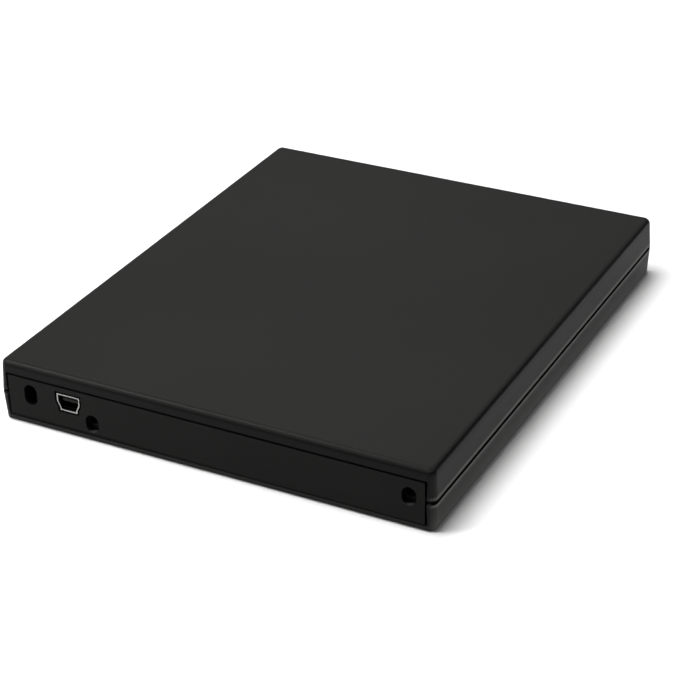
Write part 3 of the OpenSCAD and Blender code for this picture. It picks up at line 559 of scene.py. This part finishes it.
FINISHES = {
    "case_plastic": plastic("Cover plastic", (0.0088, 0.0087, 0.0084), 2600, 0.46, 0.56, 0.1,
                            0.16, 0.02, (COVER_LIGHT_AND_SHADE, {}), Specular_IOR_Level=0.06),
    "panel_plastic": plastic("Panel plastic", (0.0056, 0.0055, 0.0053), 2600, 0.55, 0.66, 0.1,
                             0.16, 0.0, (SUNK_SHADE_AND_GLINT, {"Inner": 0.0846, "Outer": 0.0853}),
                             Specular_IOR_Level=0.05),
    "bezel_plastic": plastic("Drawer face plastic", (0.0125, 0.0124, 0.012), 2600, 0.48, 0.6,
                             0.1, 0.16, Specular_IOR_Level=0.1),
    "tray_plastic": plastic("Tray plastic", (0.02, 0.0198, 0.0195), 3400, 0.42, 0.56, 0.12,
                            0.14, Specular_IOR_Level=0.35),
    "guide_plastic": plastic("Guide plastic", (0.05, 0.05, 0.052), 1800, 0.4, 0.52, 0.05),
    "hub_plastic": plastic("Hub plastic", (0.035, 0.035, 0.037), 3000, 0.36, 0.5, 0.06),
    "socket_plastic": plastic("Socket plastic", (0.022, 0.022, 0.022), 2200, 0.32, 0.46, 0.05),
    "claw_plastic": plastic("Claw plastic", (0.72, 0.71, 0.66), 1800, 0.34, 0.48, 0.05, 0.04),
    "chip_black": plastic("Chip epoxy", (0.03, 0.03, 0.033), 5200, 0.42, 0.6, 0.12, 0.2),
    "foot_rubber": plastic("Foot rubber", (0.03, 0.03, 0.031), 1500, 0.78, 0.92, 0.25, 0.2, 0.2,
                           Specular_IOR_Level=0.25),
    "damper_rubber": plastic("Damper rubber", (0.045, 0.045, 0.05), 1500, 0.7, 0.88, 0.2, 0.2),
    "screw_black": metal("Black screw steel", (0.045, 0.045, 0.047), 2600, 0.34, 0.5, 0.08, 0.2),
    "screw_steel": metal("Bright screw steel", (0.62, 0.62, 0.6), 2600, 0.22, 0.36, 0.08),
    "port_steel": metal("Plated socket steel", (0.28, 0.28, 0.275), 1500, 0.22, 0.36, 0.03, 0.06,
                        (SUNK_SHADE_AND_GLINT, {"Inner": 0.0848, "Outer": 0.0852})),
    "sheet_steel": metal("Zinc sheet steel", (0.6, 0.61, 0.62), 900, 0.3, 0.46, 0.06, 0.12),
    "cover_steel": metal("Brushed cover steel", (0.34, 0.34, 0.34), 5200, 0.4, 0.46, 0.03, 0.05),
    "rail_steel": metal("Rail steel", (0.58, 0.58, 0.57), 2600, 0.24, 0.38, 0.06),
    "motor_steel": metal("Motor steel", (0.55, 0.55, 0.54), 1800, 0.24, 0.4, 0.06),
    "board_green": new_finish("Board green", BOARD, {
        "Mask": (0.012, 0.075, 0.035, 1), "Track": (0.03, 0.16, 0.07, 1)}, 0.2,
        Specular_IOR_Level=0.5),
    "ribbon_film": new_finish("Ribbon film", STRIPES, {
        "Film": (0.55, 0.3, 0.06, 1), "Copper": (0.62, 0.4, 0.16, 1), "Lines": 160}, 0.15,
        Coat_Weight=0.3),
    "pipe_clear": clear("Clear pipe", (0.86, 0.92, 0.86), 0.08, 0.2, 1.49),
    "lens_glass": clear("Lens glass", (0.8, 0.88, 0.98), 0.02, 0.05, 1.52),
}

OWN_FINISHES = {
    # Lighter than the cover plastic: painted light on the lower half of the case
    "bottom_cover": plastic("Base plastic", (0.0145, 0.0144, 0.014), 2600, 0.48, 0.58, 0.1,
                            0.16, 0.02, (COVER_LIGHT_AND_SHADE, {}), Specular_IOR_Level=0.06),
    "usb_tongue": plastic("Tongue plastic", (0.008, 0.008, 0.008), 2200, 0.4, 0.5, 0.05, 0.12,
                          Specular_IOR_Level=0.1),
    # Near black: painted shade deep in the jack's hole
    "dc_jack": plastic("Jack plastic", (0.0012, 0.0012, 0.0012), 2200, 0.4, 0.5, 0.05, 0.12,
                       Specular_IOR_Level=0.02),
}

# Finishes for new pieces, beside those of the slots
# Near black: painted shade on the contacts inside the socket
SHADED_CONTACTS = metal("Socket contacts", (0.02, 0.018, 0.015), 1800, 0.3, 0.45, 0.03)
TIN = metal("Tinned legs", (0.62, 0.62, 0.6), 1800, 0.3, 0.45, 0.05)
CERAMIC = plastic("Ceramic bodies", (0.3, 0.22, 0.14), 1500, 0.4, 0.55, 0.1, 0.25)
PLATE = plastic("Blank plate film", (0.34, 0.34, 0.335), 900, 0.34, 0.44, 0.03, 0.03)


# Rounding and shading of the rigid pieces

SHARP_ANGLE = math.radians(32)
ROUNDED_ANGLE = math.radians(60)
FLAT_ANGLE = math.radians(0.4)
WELD_WITHIN = 0.0005 * MM
EDGE_ROUNDING = {
    "top_cover": 0.045, "bottom_cover": 0.045, "rear_panel": 0.045, "eject_button": 0.05,
    "disc_tray": 0.05, "usb_shell": 0.05, "usb_tongue": 0.08, "rear_screws": 0.06,
    "rubber_feet": 0.15, "turntable": 0.1, "dc_jack": 0.1,
}


def soft_shading():
    """Modifier tree: smooth faces that stay crisp over edges sharper than the angle."""
    tree = bpy.data.node_groups.new("Soft shading", "GeometryNodeTree")
    tree.is_modifier = True
    for way in ("INPUT", "OUTPUT"):
        tree.interface.new_socket(name="Geometry", in_out=way, socket_type="NodeSocketGeometry")
    start = tree.nodes.new("NodeGroupInput")
    end = tree.nodes.new("NodeGroupOutput")
    angle = tree.nodes.new("GeometryNodeInputMeshEdgeAngle")
    gentle = tree.nodes.new("FunctionNodeCompare")
    gentle.data_type = "FLOAT"
    gentle.operation = "LESS_EQUAL"
    gentle.inputs["B"].default_value = SHARP_ANGLE
    faces = tree.nodes.new("GeometryNodeSetShadeSmooth")
    faces.domain = "FACE"
    edges = tree.nodes.new("GeometryNodeSetShadeSmooth")
    edges.domain = "EDGE"
    tree.links.new(start.outputs[0], faces.inputs["Geometry"])
    tree.links.new(faces.outputs["Geometry"], edges.inputs["Geometry"])
    tree.links.new(angle.outputs["Unsigned Angle"], gentle.inputs["A"])
    tree.links.new(gentle.outputs["Result"], edges.inputs["Shade Smooth"])
    tree.links.new(edges.outputs["Geometry"], end.inputs[0])
    return tree


SOFT_SHADING = soft_shading()


def dress_node(name, node):
    weld = node.modifiers.new("Weld", "WELD")
    weld.merge_threshold = WELD_WITHIN
    if name in EDGE_ROUNDING:
        flat = node.modifiers.new("Plain faces", "DECIMATE")
        flat.decimate_type = "DISSOLVE"
        flat.angle_limit = FLAT_ANGLE
        edge = node.modifiers.new("Rounded edges", "BEVEL")
        edge.width = EDGE_ROUNDING[name] * MM
        edge.segments = 2
        edge.limit_method = "ANGLE"
        edge.angle_limit = ROUNDED_ANGLE
        edge.use_clamp_overlap = False
    shade = node.modifiers.new("Soft shading", "NODES")
    shade.node_group = SOFT_SHADING
    even = node.modifiers.new("Even normals", "WEIGHTED_NORMAL")
    even.keep_sharp = True


for row in frame["record"]["subparts"]:
    node = nodes[row["node"]]
    dress_node(row["node"], node)
    node.material_slots[0].material = OWN_FINISHES.get(row["node"], FINISHES[row["material_slot"]])


# Mesh helpers, with lengths in mm

def new_piece(name, form, finish, hidden=None):
    """Makes the form a piece of the object, with the given finish, in place of a hidden node."""
    bmesh.ops.recalc_face_normals(form, faces=form.faces[:])
    mesh = bpy.data.meshes.new(name)
    form.to_mesh(mesh)
    form.free()
    mesh.materials.append(finish)
    piece = bpy.data.objects.new(name, mesh)
    bpy.context.scene.collection.objects.link(piece)
    shade = piece.modifiers.new("Soft shading", "NODES")
    shade.node_group = SOFT_SHADING
    if hidden:
        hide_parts(hidden)
    return piece


def at(x, y, z):
    return Matrix.Translation(Vector((x, y, z)) * MM)


def outline(form, place, profile):
    """Vertices at (radius, height) points beside the place's own upright axis."""
    return [form.verts.new(place @ (Vector((radius, 0, height)) * MM)) for radius, height in profile]


def turned(form, place, profile, steps=40):
    """A full turn of (radius, height) points about the place's own upright axis."""
    points = outline(form, place, profile)
    lines = [form.edges.new(pair) for pair in zip(points, points[1:])]
    bmesh.ops.spin(form, geom=points + lines, cent=place.translation, axis=place.to_3x3() @ UP,
                   angle=math.tau, steps=steps, use_merge=True)
    bmesh.ops.remove_doubles(form, verts=form.verts[:], dist=0.001 * MM)


def wound(form, place, profile, pitch, turns, steps=24):
    """A closed loop of (radius, height) points wound about the place's own upright axis."""
    axis = place.to_3x3() @ UP
    points = outline(form, place, profile)
    loop = [form.edges.new(pair) for pair in zip(points, points[1:] + points[:1])]
    made = bmesh.ops.spin(form, geom=points + loop, cent=place.translation, axis=axis,
                          dvec=axis * (pitch * MM / steps), angle=math.tau * turns,
                          steps=round(steps * turns))
    ends = loop + [part for part in made["geom_last"] if isinstance(part, bmesh.types.BMEdge)]
    bmesh.ops.holes_fill(form, edges=ends, sides=len(profile))


def block(form, low, high, rounding=0.0):
    """A block between two corners, with its edges rounded."""
    middle = (Vector(low) + Vector(high)) / 2
    size = Vector(high) - Vector(low)
    made = bmesh.ops.create_cube(form, size=1, matrix=at(*middle) @ Matrix.Diagonal((*size * MM, 1)))
    if rounding:
        edges = {edge for corner in made["verts"] for edge in corner.link_edges}
        bmesh.ops.bevel(form, geom=list(edges), offset=rounding * MM, segments=2, profile=0.5,
                        affect="EDGES", material=-1)


# Flat cable, lens, lead screw and eject spring, in place of their plain solids

RIBBON_LEFT, RIBBON_RIGHT = -50, -30
RIBBON_FRONT, RIBBON_BACK = 18, 24
RIBBON_TOP = 6.8
RIBBON_THICK = 0.12
RIBBON_STEPS = 32
LENS_OUT = 23.5
LENS_PROFILE = (
    (0, 9.5), (1.75, 9.5), (1.9, 9.6), (1.9, 10.15), (1.8, 10.25), (1.55, 10.3),
    (1.3, 10.46), (0.95, 10.6), (0.5, 10.68), (0, 10.7))
LEAD_ASIDE = 24.3
LEAD_PROFILE = (
    (0, 15.1), (0.6, 15.1), (0.7, 15.25), (0.7, 17.2), (0.8, 17.3), (0.8, 52.7), (0.7, 52.8),
    (0.7, 54.75), (0.6, 54.9), (0, 54.9))
LEAD_STEPS = 24
THREAD_PROFILE = ((0.76, 17.4), (1, 17.75), (1, 18.05), (0.76, 18.4))
THREAD_PITCH = 3
THREAD_TURNS = 11.4
COIL_PLACE = (8, 6, ROD_HEIGHT)
COIL_RADIUS = 1.7
COIL_LENGTH = 12.5
COIL_TURNS = 7
COIL_START = 0.25
WIRE_RADIUS = 0.24
WIRE_SIDES = 8


def make_ribbon():
    """Flat cable between the main board and the drawer, slack in a shallow fold."""
    form = bmesh.new()
    span = RIBBON_BACK - RIBBON_FRONT
    middle = at((RIBBON_LEFT + RIBBON_RIGHT) / 2, (RIBBON_FRONT + RIBBON_BACK) / 2, RIBBON_TOP)
    size = Matrix.Diagonal(((RIBBON_RIGHT - RIBBON_LEFT) * MM, span * MM, 1, 1))
    bmesh.ops.create_grid(form, x_segments=1, y_segments=RIBBON_STEPS, size=0.5, matrix=middle @ size)
    for corner in form.verts:
        share = (corner.co.y / MM - RIBBON_FRONT) / span
        corner.co.z -= (1 - math.cos(math.tau * share)) * MM
    bmesh.ops.solidify(form, geom=form.faces[:], thickness=RIBBON_THICK * MM)
    piece = new_piece("Flat_ribbon", form, FINISHES["ribbon_film"], "flex_ribbon")
    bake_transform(piece)


def make_lens():
    """Pressed lens with a flat rim and a domed face."""
    form = bmesh.new()
    turned(form, PICKUP_FRAME @ at(LENS_OUT, 0, 0), LENS_PROFILE)
    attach(new_piece("Lens_dome", form, FINISHES["lens_glass"], "lens"), "lens")


def make_lead_screw():
    """Lead screw with its thread between two journals."""
    form = bmesh.new()
    place = PICKUP_FRAME @ at(0, LEAD_ASIDE, ROD_HEIGHT) @ Matrix.Rotation(math.pi / 2, 4, "Y")
    turned(form, place, LEAD_PROFILE, LEAD_STEPS)
    wound(form, place, THREAD_PROFILE, THREAD_PITCH, THREAD_TURNS)
    piece = new_piece("Threaded_screw", form, FINISHES["rail_steel"], "lead_screw")
    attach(piece, "lead_screw")


def make_eject_coil():
    """Wire spring that starts the drawer on its way out."""
    form = bmesh.new()
    place = at(*COIL_PLACE) @ Matrix.Rotation(-math.pi / 2, 4, "X")
    angles = [math.tau * side / WIRE_SIDES for side in range(WIRE_SIDES)]
    wire = [(COIL_RADIUS + WIRE_RADIUS * math.cos(angle), COIL_START + WIRE_RADIUS * math.sin(angle))
            for angle in angles]
    wound(form, place, wire, COIL_LENGTH / COIL_TURNS, COIL_TURNS)
    piece = new_piece("Eject_coil", form, FINISHES["rail_steel"], "eject_spring")
    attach(piece, "tray")


make_ribbon()
make_lens()
make_lead_screw()
make_eject_coil()


# Small fittings that have no solid of their own

CONTACT_STEPS = range(-2, 3)
CONTACT_PITCH = 0.8
CONTACT_HALF = 0.2
CONTACT_BACK, CONTACT_FRONT = 78.8, 84.41
CONTACT_LOW, CONTACT_BEND, CONTACT_HIGH = 10.84, 10.86, 11.5
CONTACT_THICK = 0.06
CONTACT_ROUNDING = 0.015
LEG_HALF = 0.13
LEG_BENDS = ((-0.05, 0.43, 0.45, 0.56), (0.33, 0.45, 0.05, 0.57), (0.31, 0.85, 0.02, 0.14))
CHIPS = (
    (-12, 28, 0, 40, MAIN_BOARD_TOP, 20, 20), (6, 29, 14, 35, MAIN_BOARD_TOP, 12, 0),
    (-26, 33, -20, 38, MAIN_BOARD_TOP, 8, 0), (26, 56.75, 33, 63.75, BRIDGE_BOARD_TOP, 11, 11),
    (38, 57.75, 43, 61.75, BRIDGE_BOARD_TOP, 6, 0))
SMALL_PARTS = (
    (-40, 33), (-40, 35.5), (-36, 38), (-33, 36), (-16, 29), (-16, 32), (-16, 35), (-16, 38),
    (3, 29.5), (3, 32), (3, 34.5), (3, 38.5), (18, 31), (18, 34), (-45, 37), (-48, 34))
BODY_HALF = Vector((0.6, 0.4, 0))
BODY_HIGH = 0.55
END_HALF = Vector((0.2, 0.42, 0))
END_HIGH = 0.58
END_OUT = 0.75
PART_ROUNDING = 0.06
PLATE_WIDE, PLATE_LONG = 64, 40
PLATE_THICK = 0.12
PLATE_CORNER = 2.5
PLATE_PLACE = (0, 12, 0.3)
HUB_CAP_PROFILE = (
    (0, 13.58), (4.2, 13.58), (4.2, 13.68), (4.05, 13.74), (3.1, 13.74), (2.9, 13.66),
    (1.3, 13.66), (1.1, 13.72), (0.5, 13.76), (0, 13.77))


def make_contacts():
    """Five strips under the tongue of the data socket, turned up over its front."""
    form = bmesh.new()
    for step in CONTACT_STEPS:
        left = SOCKET_X + CONTACT_PITCH * step - CONTACT_HALF
        right = SOCKET_X + CONTACT_PITCH * step + CONTACT_HALF
        block(form, (left, CONTACT_BACK, CONTACT_LOW),
              (right, CONTACT_FRONT, CONTACT_LOW + CONTACT_THICK), CONTACT_ROUNDING)
        block(form, (left, CONTACT_FRONT - CONTACT_THICK, CONTACT_BEND),
              (right, CONTACT_FRONT, CONTACT_HIGH), CONTACT_ROUNDING)
    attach(new_piece("Socket_contacts", form, SHADED_CONTACTS), "case")


def legs_along(form, start, end, base, count, outward):
    """Bent legs along one edge of a chip, from its body down to the board."""
    out_x, out_y = outward
    wide = Vector((abs(out_y), abs(out_x), 0)) * LEG_HALF
    reach = Vector((out_x, out_y, 0))
    for step in range(count):
        x, y = (first + (last - first) * (step + 0.5) / count for first, last in zip(start, end))
        root = Vector((x, y, base))
        for near, far, low, high in LEG_BENDS:
            first = root + reach * near - wide + UP * low
            last = root + reach * far + wide + UP * high
            corners = list(zip(first, last))
            block(form, [min(pair) for pair in corners], [max(pair) for pair in corners])


def make_chip_legs():
    """Legs of the flat chips on the main board and the bridge board."""
    form = bmesh.new()
    for left, front, right, back, base, along, across in CHIPS:
        legs_along(form, (left, front), (right, front), base, along, (0, -1))
        legs_along(form, (left, back), (right, back), base, along, (0, 1))
        legs_along(form, (left, front), (left, back), base, across, (-1, 0))
        legs_along(form, (right, front), (right, back), base, across, (1, 0))
    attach(new_piece("Chip_legs", form, TIN), "case")


def make_small_parts():
    """Ceramic bodies with tinned ends in rows on the main board."""
    bodies = bmesh.new()
    ends = bmesh.new()
    for x, y in SMALL_PARTS:
        foot = Vector((x, y, MAIN_BOARD_TOP))
        block(bodies, foot - BODY_HALF, foot + BODY_HALF + UP * BODY_HIGH, PART_ROUNDING)
        for side in (-END_OUT, END_OUT):
            end = foot + Vector((side, 0, 0))
            block(ends, end - END_HALF, end + END_HALF + UP * END_HIGH, PART_ROUNDING)
    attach(new_piece("Board_ceramics", bodies, CERAMIC), "case")
    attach(new_piece("Board_part_ends", ends, TIN), "case")


def make_blank_plate():
    """Bare film plate stuck to the underside between the feet."""
    form = bmesh.new()
    size = Matrix.Diagonal((PLATE_WIDE * MM, PLATE_LONG * MM, 1, 1))
    base = bmesh.ops.create_grid(form, x_segments=1, y_segments=1, size=0.5,
                                 matrix=at(*PLATE_PLACE) @ size)
    bmesh.ops.bevel(form, geom=base["verts"], offset=PLATE_CORNER * MM, segments=6, profile=0.5,
                    affect="VERTICES", material=-1)
    made = bmesh.ops.extrude_face_region(form, geom=form.faces[:])
    corners = [part for part in made["geom"] if isinstance(part, bmesh.types.BMVert)]
    bmesh.ops.translate(form, verts=corners, vec=UP * -PLATE_THICK * MM)
    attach(new_piece("Blank_plate", form, PLATE), "case")


def make_hub_cap():
    """Pressed cap in the middle of the hub."""
    form = bmesh.new()
    turned(form, Matrix.Translation(DISC_CENTRE), HUB_CAP_PROFILE)
    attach(new_piece("Hub_cap", form, FINISHES["motor_steel"]), "spindle")


make_contacts()
make_chip_legs()
make_small_parts()
make_blank_plate()
make_hub_cap()
